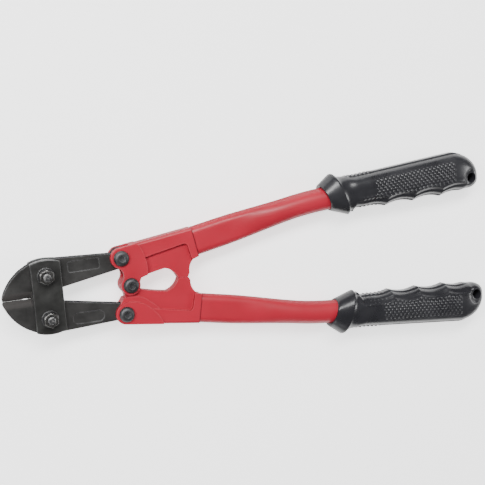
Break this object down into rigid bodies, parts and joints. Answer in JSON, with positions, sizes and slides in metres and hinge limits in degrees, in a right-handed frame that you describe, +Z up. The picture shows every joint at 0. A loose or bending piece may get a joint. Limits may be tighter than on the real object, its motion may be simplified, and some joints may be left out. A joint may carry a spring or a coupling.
{
  "type": "bolt cutters",
  "caption": "Hand bolt cutters: hardened jaws pivoted in side plates and worked by two levered handle heads with a stop, tubular handles and guarded moulded grips with hang holes.",
  "frame": {"origin": "on the surface the tool lies on, under the middle of its bounding box, so half way along its length and on the line between its handles", "axes": "+X along the tool from the jaws to the grips, +Y across it towards the upper handle, +Z up, out of the face with the round bolt heads at the handle pivots"},
  "size_m": [0.3244, 0.117, 0.0239],
  "materials": {
    "forged_steel": "black oxide over forged steel, satin, bright on the ground bevels",
    "plate_steel": "black oxide, satin",
    "red_paint": "semi-gloss enamel",
    "grip_vinyl": "glossy black dipped vinyl with a knurled panel",
    "bolt_steel": "black oxide alloy steel",
    "nut_steel": "dark zinc",
    "washer_steel": "dark zinc"
  },
  "bodies": {
    "lower_handle": {"lower_handle_head": "red_paint", "lower_tube": "red_paint", "lower_grip": "grip_vinyl", "centre_bolt": "bolt_steel", "centre_nut": "nut_steel", "lower_tail_bolt": "bolt_steel", "lower_tail_nut": "nut_steel"},
    "upper_handle": {"upper_handle_head": "red_paint", "upper_tube": "red_paint", "upper_grip": "grip_vinyl", "upper_tail_bolt": "bolt_steel", "upper_tail_nut": "nut_steel"},
    "lower_jaw": {"lower_jaw": "forged_steel"},
    "upper_jaw": {"upper_jaw": "forged_steel"},
    "side_plates": {"front_side_plate": "plate_steel", "back_side_plate": "plate_steel", "upper_jaw_bolt": "bolt_steel", "lower_jaw_bolt": "bolt_steel", "upper_jaw_washer": "washer_steel", "lower_jaw_washer": "washer_steel", "upper_jaw_nut": "nut_steel", "lower_jaw_nut": "nut_steel"}
  },
  "joints": [
    {"name": "handles", "type": "hinge", "parent": "lower_handle", "child": "upper_handle", "pos_m": [-0.0856, 0, 0.01135], "axis": [0, 0, 1], "range_deg": [0, 105]},
    {"name": "lower_tail", "type": "hinge", "parent": "lower_handle", "child": "lower_jaw", "pos_m": [-0.09, -0.01725, 0.01135], "axis": [0, 0, 1], "range_deg": [0, 65.7]},
    {"name": "upper_tail", "type": "hinge", "parent": "upper_handle", "child": "upper_jaw", "pos_m": [-0.09, 0.01725, 0.01135], "axis": [0, 0, 1], "range_deg": [-65.7, 0]},
    {"name": "upper_jaw_pivot", "type": "hinge", "parent": "upper_jaw", "child": "side_plates", "pos_m": [-0.13605, 0.0129, 0.01135], "axis": [0, 0, 1], "range_deg": [0, 13.2]}
  ],
  "couplings": [
    {"joint": "lower_tail", "follows": "handles", "ratio": 0.62106},
    {"joint": "upper_tail", "follows": "handles", "ratio": -0.62106},
    {"joint": "upper_jaw_pivot", "follows": "handles", "ratio": 0.12106}
  ]
}
